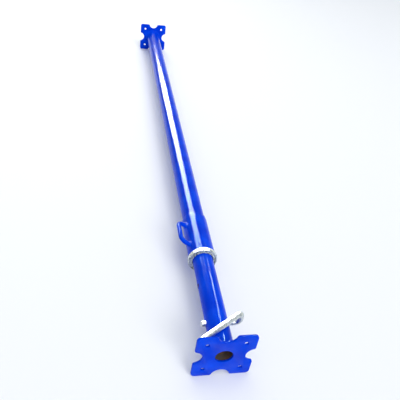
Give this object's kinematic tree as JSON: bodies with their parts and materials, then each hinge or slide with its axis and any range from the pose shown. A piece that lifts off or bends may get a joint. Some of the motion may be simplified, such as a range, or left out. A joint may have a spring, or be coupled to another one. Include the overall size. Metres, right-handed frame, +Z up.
{
  "type": "adjustable steel prop",
  "caption": "Telescopic shoring post: inner tube with a G-pin and thrust ring, outer tube with a handled sleeve nut on its thread, and an eared plate at each end.",
  "frame": {"origin": "on the surface the prop lies on, under the middle of its closed length", "axes": "+Y along the prop from the head plate to the base plate, +Z up with the prop lying on the ears of its plates, +X to the right seen from the head plate"},
  "size_m": [0.12, 1.8, 0.12],
  "materials": {
    "tube_paint": "gloss",
    "plate_paint": "gloss",
    "nut_paint": "gloss",
    "weld_paint": "gloss",
    "zinc_ring": "bright zinc",
    "zinc_pin": "bright zinc"
  },
  "bodies": {
    "outer": {"outer_tube": "tube_paint", "base_plate": "plate_paint", "base_weld": "weld_paint"},
    "inner": {"inner_tube": "tube_paint", "head_plate": "plate_paint", "head_weld": "weld_paint"},
    "ring": {"thrust_ring": "zinc_ring"},
    "nut": {"sleeve_nut": "nut_paint", "nut_handle": "nut_paint", "handle_weld_upper": "weld_paint", "handle_weld_lower": "weld_paint"},
    "pin": {"g_pin": "zinc_pin"}
  },
  "joints": [
    {"name": "inner_slide", "type": "slide", "parent": "outer", "child": "inner", "axis": [0, -1, 0], "range_m": [0, 1.2]},
    {"name": "nut_travel", "type": "slide", "parent": "outer", "child": "ring", "axis": [0, -1, 0], "range_m": [0, 0.1]},
    {"name": "nut_turn", "type": "hinge", "parent": "ring", "child": "nut", "pos_m": [0, -0.5625, 0.06], "axis": [0, -1, 0], "range_deg": [0, 4500]},
    {"name": "pin_swing", "type": "hinge", "parent": "inner", "child": "pin", "pos_m": [0, -0.82, 0.06], "axis": [-1, 0, 0], "range_deg": [0, 70]}
  ],
  "couplings": [
    {"joint": "nut_travel", "follows": "nut_turn", "m_per_rad": 0.0012732}
  ]
}
